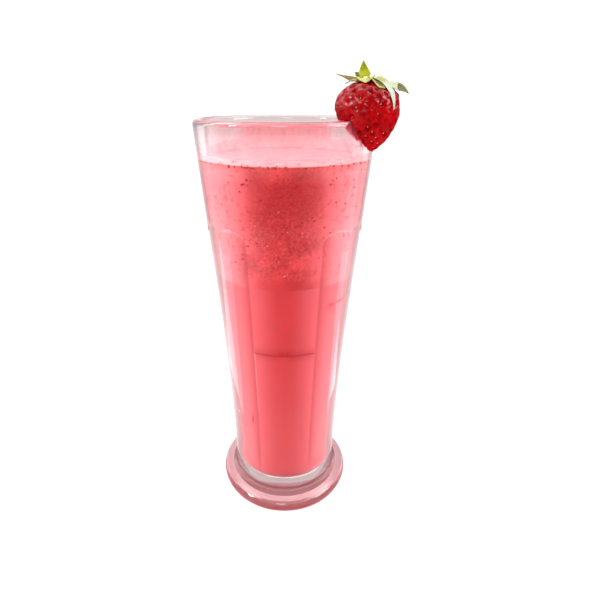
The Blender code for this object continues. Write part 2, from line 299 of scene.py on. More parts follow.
def rampOf(source, low, high, fromValue=0.0, toValue=1.0, kind="SMOOTHSTEP"):
    node = addNode(source.id_data, "ShaderNodeMapRange", interpolation_type=kind)
    feed(node, Value=source, From_Min=low, From_Max=high, To_Min=fromValue, To_Max=toValue)
    return node.outputs["Result"]


def mathOf(operation, *values):
    node = addNode(values[0].id_data, "ShaderNodeMath", operation=operation)
    for socket, value in zip(node.inputs, values):
        plug(socket, value)
    return node.outputs["Value"]


def productOf(first, *factors):
    for factor in factors:
        first = mathOf("MULTIPLY", first, factor)
    return first


def axesOf(tree, kind="Object"):
    coords = addNode(tree, "ShaderNodeTexCoord").outputs[kind]
    return feed(addNode(tree, "ShaderNodeSeparateXYZ"), Vector=coords).outputs


def paintedSideLight(across, low, high, amount):
    # painted side light: 0 down the middle of the front and back, rising to the amount at both sides
    return rampOf(mathOf("ABSOLUTE", across), low, high, 0.0, amount)


def bumpFrom(shader, height, strength, distance):
    bump = addNode(shader.id_data, "ShaderNodeBump")
    feed(bump, Height=height, Strength=strength, Distance=distance)
    feed(shader, Normal=bump.outputs["Normal"])


def cloudedMaterial(name, color, roughness, cloud, **values):
    # a finish that drifts between two tones, with the cloud's mask for a bump
    material, tree, shader = newMaterial(name, color, roughness, **values)
    clouds = useGroup(tree, mottle, **cloud)
    feed(shader, Base_Color=clouds["Color"])
    return material, shader, clouds["Mask"]


def makeMottle():
    # slow change between two colours, with the pattern itself as a mask
    tree, given, result = newGroup(
        "mottle", {"Deep": (0.5, 0.0, 0.0, 1.0), "Pale": (1.0, 0.5, 0.5, 1.0), "Scale": 50.0, "Detail": 2.0,
                   "Low": 0.35, "High": 0.65},
        {"Color": "NodeSocketColor", "Mask": "NodeSocketFloat"})
    coords = addNode(tree, "ShaderNodeTexCoord").outputs["Object"]
    cloud = addNode(tree, "ShaderNodeTexNoise")
    feed(cloud, Vector=coords, Scale=given["Scale"], Detail=given["Detail"])
    mask = rampOf(cloud.outputs["Fac"], given["Low"], given["High"], kind="LINEAR")
    feed(result, Color=tintOver(given["Deep"], (mask, given["Pale"])), Mask=mask)
    return tree


def mottleMask(tree, scale, detail, low, high):
    return useGroup(tree, mottle, Scale=scale, Detail=detail, Low=low, High=high)["Mask"]


def makeSpeckle():
    # round specks of one size, as a mask, in a share of the cells
    tree, given, result = newGroup(
        "speckle", {"Scale": 500.0, "Inner": 0.1, "Outer": 0.3, "Share": 0.5}, {"Mask": "NodeSocketFloat"})
    coords = addNode(tree, "ShaderNodeTexCoord").outputs["Object"]
    cells = feed(addNode(tree, "ShaderNodeTexVoronoi"), Vector=coords, Scale=given["Scale"]).outputs
    fade = rampOf(cells["Distance"], given["Inner"], given["Outer"], 1.0, 0.0, "LINEAR")
    split = feed(addNode(tree, "ShaderNodeSeparateColor"), Color=cells["Color"])
    some = mathOf("LESS_THAN", split.outputs["Red"], given["Share"])
    feed(result, Mask=productOf(fade, some))
    return tree


def putOn(piece, *materials):
    piece.data.materials.clear()
    for material in materials:
        piece.data.materials.append(material)


def floorArc(extra, angles):
    # the round corner between the glass's floor and its wall
    reach = glass["floorRound"] + extra
    corner = glass["floor"] + glass["floorRound"]
    return arcRows((boreRadius(corner) - glass["floorRound"], corner), (reach, reach), angles)


def footRows():
    rows = [(glass["underside"], 0.0)]
    rows += arcRows((glass["underside"], glass["footEdge"]),  # rounded edge of the underside
                    (glass["footRadius"] - glass["underside"], glass["footEdge"]), range(-75, 1, 15))
    rows += arcRows((glass["footTopRadius"], glass["footEdge"]),  # top of the foot
                    (glass["footRadius"] - glass["footTopRadius"], glass["footTop"] - glass["footEdge"]),
                    range(10, 81, 10))
    inward = glass["neckRadius"] - glass["footTopRadius"]
    for step in range(1, 8):  # hollow neck over the foot
        share = step / 8.0
        rise = glass["neckStep"] + (1.0 - glass["neckStep"]) * share
        rows.append((glass["footTopRadius"] + inward * math.sin(share * math.pi / 2.0),
                     glass["footTop"] + (glass["neckHeight"] - glass["footTop"]) * rise))
    return rows


def panelRows():
    # rows of the panelled body, bottom to top: (height, lift by the arch, depth of the panel)
    low = glass["panelBottom"] + glass["panelFade"]
    high = glass["cusp"] - 4.0 * glass["shoulder"]
    shares = [step / glass["fadeRows"] for step in range(glass["fadeRows"] + 1)]
    rows = [(glass["panelBottom"] + glass["panelFade"] * share, 0.0, blend(share)) for share in shares]
    heights = [low + (high - low) * step / glass["bodyRows"] for step in range(1, glass["bodyRows"])]
    for ledge in sorted({row[0] for row in glass["ledges"]}):
        heights = [height for height in heights if abs(height - ledge) > 4.0 * glass["ledgeSlope"]]
        heights += [ledge + side * glass["ledgeSlope"] for side in (-2.0, -1.0, -0.4, 0.4, 1.0, 2.0)]
    rows += [(height, 0.0, 1.0) for height in sorted(heights)]
    # round the arches: shoulders over the cusp, lift, depth
    over = [(-4.0, 0.35, 1.0), (-2.0, 0.75, 1.0), (-0.8, 0.94, 1.0)]
    over += [(step / 5.0, 1.0, 1.0 - blend(step / 5.0)) for step in range(6)]
    over += [(1.8, 0.95, 0.0), (3.6, 0.7, 0.0), (6.0, 0.35, 0.0)]
    rows += [(glass["cusp"] + offset * glass["shoulder"], lift, depth) for offset, lift, depth in over]
    return rows


def pressPanels(piece, rows):
    # flat panels, their arches and their ledges, set into the round body, with painted shade stored along the
    # ledges, arches and grooves
    width = math.tau / glass["panels"]
    levels = {round(height, 6): (lift, depth) for height, lift, depth in rows}
    creaseShadeValues = [0.0] * len(piece.data.vertices)
    for vertex in piece.data.vertices:
        height = vertex.co.z
        radius = math.hypot(vertex.co.x, vertex.co.y)
        angle = frontAngle(vertex.co)
        place = (angle / width) % 1.0 - 0.5
        place += glass["edgePull"] * math.sin(math.tau * place) / math.tau
        angle = (math.floor(angle / width) + 0.5 + place) * width
        key = round(height, 6)
        if key not in levels or radius < bodyRadius(height) - 0.5 * glass["wallAtRim"]:
            vertex.co = ringPoint(radius, angle, height)
            continue
        lift, depth = levels[key]
        pair = (math.floor(angle / width) + 1) // 2
        offset = abs(angle - 2.0 * pair * width)  # from the middle of its pair of panels
        ledge, dip, tilt = glass["ledges"][pair % len(glass["ledges"])]
        dip *= max(0.0, 1.0 - offset / glass["dipWidth"]) ** 1.5
        tilt *= abs(angle) - 2.0 * abs(pair) * width
        level = height + lift * glass["arch"] * math.sqrt(max(0.0, 1.0 - (2.0 * place) ** 2))
        level -= dip * blend(1.0 - abs(height - ledge) / glass["dipReach"])
        level -= tilt * blend(1.0 - abs(height - ledge) / glass["tiltReach"])
        reach = bodyRadius(level)
        flat = math.cos(width / 2.0) / math.cos(place * width)
        flat += glass["panelBulge"] * (1.0 - flat)
        inward = glass["ledgeStep"] * blend((height - ledge) / (2.0 * glass["ledgeSlope"]) + 0.5)
        beyond = abs(angle) / width % 2.0 - 1.0  # past the border of the pair nearer the front
        beyond = beyond * width if beyond >= 0.0 else 1.0
        groove = min(beyond / glass["grooveEdge"], 1.0) * max(0.0, 1.0 - beyond / glass["grooveWidth"])
        reach += depth * (reach * (flat - 1.0) - glass["panelStep"] - inward - glass["grooveDepth"] * groove)
        vertex.co = ringPoint(reach, angle, level)
        # painted shade: a dark line along each ledge, weaker along the arches and the grooves, for the glass's
        # colour and gloss
        line = max(0.0, 1.0 - abs(level - ledge) / glass["ledgeShadeReach"])
        arch = 1.0 - abs(2.0 * depth - 1.0) if level > glass["cusp"] - glass["shoulder"] else 0.0
        creaseShadeValues[vertex.index] = max(line, glass["archShade"] * arch, glass["grooveShade"] * groove * depth)
    paintedCreaseShade = piece.data.attributes.new("paintedCreaseShade", "FLOAT", "POINT")
    paintedCreaseShade.data.foreach_set("value", creaseShadeValues)
    piece.data.update()


def makeGlass():
    panels = panelRows()
    shoulder = glass["height"] - glass["lip"]
    rows = footRows()
    rows += [(bodyRadius(height), height) for height, _, _ in panels]
    rows += wallRows(bodyRadius, panels[-1][0], shoulder, 12)
    rows += arcRows((glass["rimRadius"] - glass["lip"], shoulder), (glass["lip"], glass["lip"]),
                    range(15, 181, 15))
    rows += wallRows(boreRadius, shoulder, glass["floor"] + glass["floorRound"], 36)
    rows += floorArc(0.0, range(-10, -91, -10))
    piece = pullRings("glassBody", rows, glass["panels"] * glass["columnsPerPanel"])
    pressPanels(piece, panels)
    return finishMesh(piece, 30.0)


# the clear glass: painted reflections of the drink's red in rings at the foot, a pale pink tint up the body,
# and a painted grey shade at the rim: (height, colour)
glassTintAndPaintedLight = (
    (0.0006, (0.62, 0.40, 0.42)), (0.0012, (0.30, 0.002, 0.004)),
    (0.0034, (0.34, 0.006, 0.010)), (0.0044, (0.46, 0.27, 0.28)),
    (0.0070, (0.56, 0.42, 0.43)), (0.0090, (0.46, 0.32, 0.33)),
    (0.0097, (0.20, 0.002, 0.004)), (0.0106, (0.24, 0.010, 0.014)),
    (0.0116, (0.46, 0.35, 0.35)), (0.0175, (0.46, 0.36, 0.36)),
    (0.0195, (0.92, 0.86, 0.865)), (0.1800, (0.92, 0.86, 0.865)),
    (0.1815, (0.92, 0.80, 0.815)), (0.1880, (0.92, 0.80, 0.815)),
    (0.1915, (0.66, 0.58, 0.58)), (0.1950, (0.55, 0.46, 0.46)),
)


def glassMaterial():
    material, tree, shader = newMaterial("clearPressedGlass", (0.93, 0.87, 0.875), 0.0,
                                         Transmission_Weight=1.0, IOR=1.5)
    up = axesOf(tree)["Z"]
    top = glassTintAndPaintedLight[-1][0]
    # painted reflection at the foot and painted grey shade at the rim, set by height
    tones = feed(addNode(tree, "ShaderNodeValToRGB"), Fac=rampOf(up, 0.0, top, kind="LINEAR"))
    stops = tones.color_ramp.elements
    stops.remove(stops[1])
    for index, (height, color) in enumerate(glassTintAndPaintedLight):
        stop = stops[0] if index == 0 else stops.new(height / top)
        stop.position = height / top
        stop.color = (*color, 1.0)
    # painted shade along the ledges, arches and grooves darkens the glass and its gloss
    paintedCreaseShade = addNode(tree, "ShaderNodeAttribute", attribute_name="paintedCreaseShade").outputs["Fac"]
    # painted shade: the glass is darkened where it is seen edge-on, along its outline
    edge = feed(addNode(tree, "ShaderNodeLayerWeight"), Blend=0.5)
    grazingShade = rampOf(edge.outputs["Facing"], 0.60, 0.76, 0.0, 0.95)
    color = tintOver(tones.outputs["Color"], (paintedCreaseShade, (0.34, 0.035, 0.055)), (grazingShade, (0.06, 0.02, 0.025)))
    # the gloss is grey along the drink, carries a painted red reflection of the drink at the foot's edge, and
    # is darkened by painted shade along the ledges, arches and grooves
    beside = productOf(rampOf(up, 0.172, 0.182, 1.0, 0.0), rampOf(up, 0.012, 0.020))
    foot = rampOf(up, 0.0036, 0.0050, 1.0, 0.0)
    gloss = tintOver((1.0, 1.0, 1.0), (beside, (0.30, 0.24, 0.27)), (foot, (1.0, 0.40, 0.44)),
                     (paintedCreaseShade, (0.10, 0.02, 0.03)))
    feed(shader, Base_Color=color, Specular_Tint=gloss)
    bumpFrom(shader, mottleMask(tree, 90.0, 1.0, 0.2, 0.8), 0.2, 0.0002)
    return material


drink = {
    "level": frothHigh.z,
    "split": 0.5 * (juiceHigh.z + frothLow.z),
    "reach": 0.00012,  # how far the drink goes into the wall, so that no air shows
    "columns": 196,
    "meniscus": 0.0011,  # how high the drink climbs the wall
    "meniscusWidth": 0.0010,
    "bubbleLift": 0.00010,  # the broken surface, flat again this near to the wall
    "bubbleEdge": 0.002,
}


def makeJuice():
    rows = floorArc(drink["reach"], range(-90, 1, 10))
    rows += wallRows(boreRadius, rows[-1][1], drink["split"], 40, drink["reach"])
    return finishMesh(pullRings("juiceBody", rows, drink["columns"]))


def makeFroth():
    level = drink["level"]
    top = boreRadius(level) + drink["reach"]
    climb = level + drink["meniscus"]
    rows = wallRows(boreRadius, drink["split"], level, 30, drink["reach"], 0)
    rows.append((boreRadius(climb) + drink["reach"], climb))
    for step in range(1, 50):  # the surface, from the wall to the middle
        radius = top * (1.0 - step / 50.0)
        rows.append((radius, level + drink["meniscus"] * math.exp((radius - top) / drink["meniscusWidth"])))
    piece = pullRings("frothBody", rows, drink["columns"])
    for vertex in piece.data.vertices:
        point = vertex.co
        radius = math.hypot(point.x, point.y)
        if point.z >= level - 0.00001 and radius < top - 0.0004:
            bubbles = noise.cell(point * 900.0) * 0.5 + noise.noise(point * 500.0)
            point.z += drink["bubbleLift"] * bubbles * blend((top - radius) / drink["bubbleEdge"])
    piece.data.update()
    return finishMesh(piece)


def juiceMaterial():
    material, tree, shader = newMaterial(
        "smoothDrink", (0.76, 0.04, 0.04), 0.6, Subsurface_Weight=0.6,
        Subsurface_Radius=(0.006, 0.002, 0.002), Specular_IOR_Level=0.0, Sheen_Weight=1.0,
        Sheen_Roughness=0.50, Sheen_Tint=(1.0, 0.84, 0.94))
    axes = axesOf(tree)
    cloud = useGroup(tree, mottle, Scale=38.0, Detail=3.0,
                     Deep=(0.62, 0.010, 0.013), Pale=(0.68, 0.018, 0.021))
    color = tintOver(
        cloud["Color"],
        (rampOf(axes["Z"], 0.020, 0.110, 0.75, 0.0), (0.72, 0.055, 0.060)),  # paler towards the floor
        # painted side light: paler towards both sides
        (paintedSideLight(axes["X"], 0.001, 0.015, 0.9), (0.80, 0.125, 0.142)),
        (rampOf(axes["Z"], 0.0128, 0.0150, 0.85, 0.0), (1.0, 0.66, 0.66)))  # painted light: a pale ring where the drink meets the glass's floor
    feed(shader, Base_Color=color)
    return material


def frothMaterial():
    # clouding, darker pulp specks and fine light bubbles; calmer towards the smooth layer below; painted side
    # light and painted shade down the middle
    material, tree, shader = newMaterial(
        "frothyDrink", (0.80, 0.10, 0.10), 0.6, Subsurface_Weight=0.35,
        Subsurface_Radius=(0.003, 0.001, 0.001), Specular_IOR_Level=0.0, Sheen_Weight=0.7,
        Sheen_Roughness=0.50, Sheen_Tint=(1.0, 0.80, 0.86))
    split, level = drink["split"], drink["level"]
    axes = axesOf(tree)
    up = axes["Z"]
    # painted side light: the froth is paler towards both sides
    sides = paintedSideLight(axes["X"], 0.002, 0.026, 0.85)
    # painted shade: the middle of the froth is darker, most of all in a band below its top
    middle = rampOf(sides, 0.05, 0.75, 1.0, 0.2)
    dark = productOf(rampOf(up, 0.148, 0.164, 0.0, 0.7), rampOf(up, 0.172, 0.178, 1.0, 0.0), middle)
    calm = productOf(rampOf(up, split, split + 0.008), rampOf(up, 0.152, 0.168, 1.0, 0.45))
    cloud = useGroup(tree, mottle, Scale=120.0, Detail=6.0, Low=0.3, High=0.68,
                     Deep=(0.46, 0.002, 0.003), Pale=(0.78, 0.044, 0.046))
    patches = mottleMask(tree, 75.0, 4.0, 0.48, 0.66)
    grain = mottleMask(tree, 1100.0, 2.0, 0.45, 0.72)
    pulp = mottleMask(tree, 520.0, 4.0, 0.57, 0.68)
    bubbles = useGroup(tree, speckle, Scale=900.0, Inner=0.10, Outer=0.34, Share=0.04)["Mask"]
    pulpAmount = rampOf(up, split + 0.001, split + 0.010, 0.0, 0.42)
    color = tintOver(
        cloud["Color"],
        (rampOf(up, split, split + 0.011, 0.8, 0.0), (0.70, 0.020, 0.024)),  # near the smooth layer
        # painted side light
        (sides, (0.95, 0.27, 0.30)),
        # painted shade down the middle
        (dark, (0.44, 0.001, 0.003)),
        (rampOf(up, 0.1765, 0.1800, 0.0, 0.45), (0.86, 0.075, 0.055)),  # just under the surface
        (productOf(patches, middle, 0.55), (0.44, 0.001, 0.002)),
        (productOf(grain, calm, 0.32), (0.92, 0.20, 0.20)),
        (productOf(pulp, pulpAmount), (0.40, 0.001, 0.003)),
        (productOf(bubbles, calm), (0.98, 0.32, 0.32)),
        (rampOf(up, level + 0.0001, level + 0.0005), (1.0, 0.46, 0.49)))  # where it climbs the wall
    feed(shader, Base_Color=color)
    return material


def surfaceMaterial():
    cloud = {"Scale": 140.0, "Detail": 4.0, "Deep": (0.84, 0.22, 0.26), "Pale": (0.95, 0.36, 0.40)}
    material, shader, mask = cloudedMaterial(
        "frothSurface", (0.95, 0.45, 0.47), 0.3, cloud, Subsurface_Weight=0.5,
        Subsurface_Radius=(0.006, 0.003, 0.003), IOR=1.35, Coat_Weight=0.4, Coat_Roughness=0.15)
    bumpFrom(shader, mask, 0.3, 0.0002)
    return material


film = {
    "near": 0.0022,  # how far the froth clings to the wall above the drink, at the front
    "far": 0.0060,  # and at the back
    "spread": 1.4,  # how late it rises towards the back
    "wave": 0.00035,
    "start": 0.0004,  # below the drink's level
    "top": 0.1925,
    "thickness": 0.00022,
    "inWall": 0.00005,
    "columns": 196,
    "bandRows": 12,
    "upperRows": 10,
    "upperMilk": 0.14,  # how much the thin film over the band covers
}


def makeFilm():
    level = drink["level"]
    start = level - film["start"]
    count = film["bandRows"] + film["upperRows"]
    rows = wallRows(boreRadius, start, film["top"], count, film["inWall"], 0)
    rows += reversed(wallRows(boreRadius, start, film["top"], count, -film["thickness"], 0))
    piece = pullRings("frothFilm", rows, film["columns"], filled=False)
    editAll(piece, "EDGE")
    bpy.ops.mesh.select_all(action="DESELECT")
    bpy.ops.mesh.select_non_manifold()
    bpy.ops.mesh.bridge_edge_loops()
    backToObject()
    milkiness = []
    for vertex in piece.data.vertices:
        point = vertex.co
        step = round((point.z - start) / (film["top"] - start) * count)
        angle = frontAngle(point)
        inner = math.hypot(point.x, point.y) < boreRadius(point.z) - 0.00005
        back = (0.5 - 0.5 * math.cos(angle)) ** film["spread"]
        band = film["near"] + (film["far"] - film["near"]) * back
        band += film["wave"] * noise.noise(Vector((6.0 * math.sin(angle), 6.0 * math.cos(angle), 3.0)))
        if step <= film["bandRows"]:
            share = step / film["bandRows"]
            height = start + (band + level - start) * share
            milkiness.append(1.0 - 0.2 * share if share < 0.95 else 0.4)
        else:
            share = (step - film["bandRows"]) / film["upperRows"]
            height = level + band + (film["top"] - level - band) * share
            milkiness.append(film["upperMilk"] * (1.0 - 0.7 * share))
        extra = -film["thickness"] if inner else film["inWall"]
        vertex.co = ringPoint(boreRadius(height) + extra, angle, height)
    milk = piece.data.attributes.new("milk", "FLOAT", "POINT")
    milk.data.foreach_set("value", milkiness)
    return finishMesh(piece, 60.0)


def filmMaterial():
    material, tree, shader = newMaterial("wetFilm", (0.98, 0.50, 0.53), 0.25, IOR=1.35)
    milk = addNode(tree, "ShaderNodeAttribute", attribute_name="milk")
    streaks = useGroup(tree, mottle, Scale=260.0, Detail=4.0, Low=0.25, High=0.6,
                       Deep=(0.95, 0.42, 0.46), Pale=(1.0, 0.58, 0.60))
    patches = rampOf(streaks["Mask"], 0.0, 1.0, 0.6, 1.0)
    feed(shader, Base_Color=streaks["Color"], Alpha=productOf(milk.outputs["Fac"], patches))
    return material


bits = {
    "lineClumps": 56,
    "clumpSeeds": 6,  # at most
    "clumpSpread": 0.030,  # in radians
    "lineWander": 0.00026,
    "lineStray": 110,
    "strayRise": 0.0009,
    "seedSize": (0.00028, 0.00030, 0.00036),
    "seedDepth": 0.00020,  # how far into the wall, and the pulp's
    "pulpDepth": 0.00012,
    "pulpBits": 300,
    "pulpSize": (0.00022, 0.00030, 0.00034),
    "pulpFromSplit": 0.003,
    "pulpFromTop": 0.001,
    "seed": 11,
}


def bitModel(size):
    deselectAll()
    bpy.ops.mesh.primitive_ico_sphere_add(subdivisions=1, radius=1.0)
    model = newPrimitive("bitModel")
    editAll(model)
    bpy.ops.mesh.subdivide(number_cuts=1, smoothness=0.8)
    bpy.ops.transform.resize(value=size)
    backToObject()
    return model


def wallPlace(angle, height, depth, turn, size):
    # a place on the inner wall: X points out of the glass
    point = ringPoint(boreRadius(height) + depth, angle, height)
    out = ringPoint(1.0, angle, 0.0)
    along = Vector((math.cos(angle), math.sin(angle), 0.0))
    axes = Matrix((out, along, Vector((0.0, 0.0, 1.0)))).transposed().to_4x4()
    return Matrix.Translation(point) @ axes @ Matrix.Rotation(turn, 4, "X") @ Matrix.Scale(size, 4)


def makeLineSeeds():
    # fruit seeds that float in a dotted line where the drink meets the wall
    level = drink["level"]
    draw = random.Random(bits["seed"])
    places = []
    for clump in range(bits["lineClumps"]):
        middle = math.tau * (clump + draw.uniform(-0.4, 0.4)) / bits["lineClumps"]
        for _ in range(draw.randint(1, bits["clumpSeeds"])):
            angle = middle + draw.gauss(0.0, bits["clumpSpread"])
            height = level + draw.gauss(0.0, bits["lineWander"])
            places.append(wallPlace(angle, height, bits["seedDepth"], draw.uniform(0.0, math.pi),
                                    draw.uniform(0.65, 1.15)))
    for _ in range(bits["lineStray"]):
        height = level + abs(draw.gauss(0.0, bits["strayRise"])) * draw.choice((1.0, 1.0, -0.5))
        places.append(wallPlace(draw.uniform(0.0, math.tau), height, bits["seedDepth"],
                                draw.uniform(0.0, math.pi), draw.uniform(0.45, 0.9)))
    return stampCopies(bitModel(bits["seedSize"]), places, "lineSeeds")


def makePulpBits():
    draw = random.Random(bits["seed"] + 1)
    low = drink["split"] + bits["pulpFromSplit"]
    reach = drink["level"] - bits["pulpFromTop"] - low
    places = []
    for _ in range(bits["pulpBits"]):
        height = low + reach * draw.random() ** 0.75  # more of them high up
        places.append(wallPlace(draw.uniform(0.0, math.tau), height, bits["pulpDepth"],
                                draw.uniform(0.0, math.pi), draw.choice((0.5, 0.7, 0.9, 1.3))))
    return stampCopies(bitModel(bits["pulpSize"]), places, "pulpBits")


def bitMaterial(name, deep, pale):
    cloud = {"Scale": 900.0, "Detail": 1.0, "Deep": deep, "Pale": pale}
    return cloudedMaterial(name, deep, 0.6, cloud, IOR=1.4, Specular_IOR_Level=0.1)[0]


berry = {
    "height": 0.0250,  # tip to shoulder
    "radius": 0.0117,
    "widest": 0.64,  # share of the height, from the tip
    "point": 0.70,
    "crown": 2.3,
    "dip": 0.0006,
    "lobes": 0.045,
    "azimuth": 56.0,  # degrees from the front, towards +X
    "out": 0.0380,
    "tipHeight": 0.1836,
    "lean": 4.5,
    "bend": 0.0027,
    "segments": 208,
    "rings": 144,
    "seeds": 150,
    "spiralWander": 0.06,  # in radians
    "pitDepth": 0.00080,
    "pitRadius": 0.00085,
    "pitShares": (0.15, 1.15),  # shallowest and deepest, of the depth
    "swell": 0.00022,  # skin that rises between the pits
    "dents": 0.00036,
    "dentScales": ((230.0, 1.0), (520.0, 0.8), (1100.0, 0.35)),
    "shrink": 0.0002,  # makes up for the swell
    "seedSize": (0.00014, 0.00020, 0.00032),
    "slitGap": 0.0003,
    "slitDepth": 0.004,  # below the tip, so that the slit runs right through
}


def berryProfile(share):
    if share <= berry["widest"]:
        return berry["radius"] * math.sin(share / berry["widest"] * math.pi / 2.0) ** berry["point"]
    above = (share - berry["widest"]) / (1.0 - berry["widest"])
    return berry["radius"] * math.sqrt(max(0.0, 1.0 - above ** berry["crown"]))


def berryPoint(share, angle):
    # a point on the strawberry's skin in its own frame: tip at 0, stalk at +Z
    uneven = 1.0 + berry["lobes"] * math.sin(2.0 * angle + 0.6) * math.sin(math.pi * share)
    uneven += 0.5 * berry["lobes"] * math.sin(3.0 * angle + 2.2)
    radius = berryProfile(share) * uneven
    height = berry["height"] * share
    if share > berry["widest"]:
        height -= berry["dip"] * blend(1.0 - radius / (0.75 * berry["radius"]))
    bend = berry["bend"] * (1.0 - share) ** 2
    return Vector((radius * math.cos(angle) + bend, radius * math.sin(angle), height))


def berryFrame():
    middle = ringPoint(berry["out"], math.radians(berry["azimuth"]), berry["tipHeight"])
    return Matrix.Translation(middle) @ Matrix.Rotation(math.radians(-berry["lean"]), 4, "Y")


def seedPlaces():
    # seeds on a spiral, evenly spread over the skin: (share, angle)
    samples = 400
    area = [0.0]
    for index in range(samples):
        low = berryPoint(index / samples, 0.0)
        high = berryPoint((index + 1) / samples, 0.0)
        area.append(area[-1] + (low.x + high.x) * (high - low).length)
    draw = random.Random(5)
    spiral = math.pi * (3.0 - math.sqrt(5.0))
    wander = berry["spiralWander"]
    places = []
    reached = 0
    for index in range(berry["seeds"]):
        wanted = area[-1] * (0.01 + 0.93 * (index + 0.5) / berry["seeds"])
        while area[reached] < wanted:
            reached += 1
        angle = index * spiral + draw.uniform(-wander, wander)
        places.append((reached / samples, angle % math.tau))
    return places


def makeSlitCutter():
    # a ring a little larger than the glass's wall: a round bead spun about the glass's axis
    gap = berry["slitGap"]
    reach = glass["lip"] + gap
    middle = Vector((glass["rimRadius"] - glass["lip"], 0.0, glass["height"] - glass["lip"]))
    deselectAll()
    bpy.ops.mesh.primitive_circle_add(vertices=32, radius=reach, location=middle,
                                      rotation=(math.pi / 2.0, 0.0, 0.0))
    cutter = newPrimitive("slitCutter")
    low = berry["tipHeight"] - berry["slitDepth"]
    for vertex in cutter.data.vertices:  # the lower half becomes the wall's two faces
        if vertex.co.z < middle.z - 0.000001:
            outside = vertex.co.x > middle.x
            height = middle.z + (low - middle.z) * (middle.z - vertex.co.z) / reach
            vertex.co.x = bodyRadius(height) + gap if outside else boreRadius(height) - gap
            vertex.co.z = height
    editAll(cutter, "EDGE")
    bpy.ops.mesh.spin(steps=168, angle=math.tau, center=(0.0, 0.0, 0.0), axis=(0.0, 0.0, 1.0))
    backToObject()
    tidyNormals(cutter, 0.00001)
    return cutter


def makeBerry(places):
    deselectAll()
    bpy.ops.mesh.primitive_uv_sphere_add(segments=berry["segments"], ring_count=berry["rings"], radius=1.0)
    piece = newPrimitive("strawberryFlesh")
    for vertex in piece.data.vertices:
        share = min(max(0.5 + 0.5 * vertex.co.z, 0.0), 1.0)
        vertex.co = berryPoint(share, math.atan2(vertex.co.y, vertex.co.x))
    piece.data.update()
    tree = KDTree(len(places))
    for index, (share, angle) in enumerate(places):
        tree.insert(berryPoint(share, angle), index)
    tree.balance()
    draw = random.Random(17)
    depths = [draw.uniform(*berry["pitShares"]) for _ in places]
    normals = [vertex.normal.copy() for vertex in piece.data.vertices]
    for vertex, normal in zip(piece.data.vertices, normals):
        point = vertex.co.copy()
        _, index, distance = tree.find(point)
        pit = depths[index] * math.exp(-(distance / berry["pitRadius"]) ** 2)
        dents = sum(amount * noise.noise(point * scale) for scale, amount in berry["dentScales"])
        lift = berry["swell"] * (1.0 - 2.0 * pit) + berry["dents"] * dents - berry["pitDepth"] * pit
        vertex.co = point + normal * (lift - berry["shrink"])
    piece.data.transform(berryFrame())
    piece.data.update()
    return piece


def cutSlit(piece):
    cutter = makeSlitCutter()
    slit = piece.modifiers.new("slit", "BOOLEAN")
    slit.operation = "DIFFERENCE"
    slit.solver = "EXACT"
    slit.object = cutter
    applyModifiers(piece)
    bpy.data.objects.remove(cutter)


def makeBerrySeeds(places):
    draw = random.Random(3)
    stamps = []
    for share, angle in places:
        here = berryPoint(share, angle)  # the skin's own axes: out, sideways and towards the stalk
        along = (berryPoint(min(share + 0.02, 1.0), angle) - here).normalized()
        out = (berryPoint(share, angle + 0.05) - here).cross(along).normalized()
        turn = Matrix((out, along.cross(out), along)).transposed().to_4x4()
        place = Matrix.Translation(here - out * (berry["pitDepth"] + berry["swell"] * 0.4)) @ turn
        place = berryFrame() @ place @ Matrix.Scale(draw.uniform(0.8, 1.15), 4)
        point = place.translation
        radius = math.hypot(point.x, point.y)
        inWall = boreRadius(point.z) - 0.001 < radius < bodyRadius(point.z) + 0.001
        if not (inWall and point.z < glass["height"] + 0.001):
            stamps.append(place)
    return stampCopies(bitModel(berry["seedSize"]), stamps, "strawberrySeeds")


def skinMaterial():
    material, tree, shader = newMaterial("ripeSkin", (0.40, 0.002, 0.006), 0.4, Specular_IOR_Level=0.0,
                                         Coat_Roughness=0.05, Coat_IOR=1.70)
    shade = useGroup(tree, mottle, Scale=110.0, Detail=3.0, Low=0.35, High=0.7,
                     Deep=(0.20, 0.001, 0.003), Pale=(0.46, 0.002, 0.004))
    # wet in patches, and most of all at the shoulder that faces the glass
    axes = axesOf(tree)
    wet = productOf(rampOf(axes["Z"], 0.1965, 0.2015, 0.12, 1.0),
                    rampOf(axes["X"], 0.023, 0.031, 1.0, 0.4),
                    rampOf(mottleMask(tree, 420.0, 3.0, 0.46, 0.56), 0.0, 1.0, 0.25, 1.0))
    feed(shader, Base_Color=shade["Color"], Coat_Weight=wet)
    bumpFrom(shader, mottleMask(tree, 900.0, 3.0, 0.3, 0.7), 0.5, 0.00012)
    return material


def fleshMaterial():
    cloud = {"Scale": 260.0, "Detail": 3.0, "Deep": (0.88, 0.10, 0.16), "Pale": (0.98, 0.26, 0.34)}
    return cloudedMaterial("cutFlesh", (0.88, 0.08, 0.14), 0.5, cloud, Subsurface_Weight=0.6,
                           Subsurface_Radius=(0.004, 0.0015, 0.0015))[0]


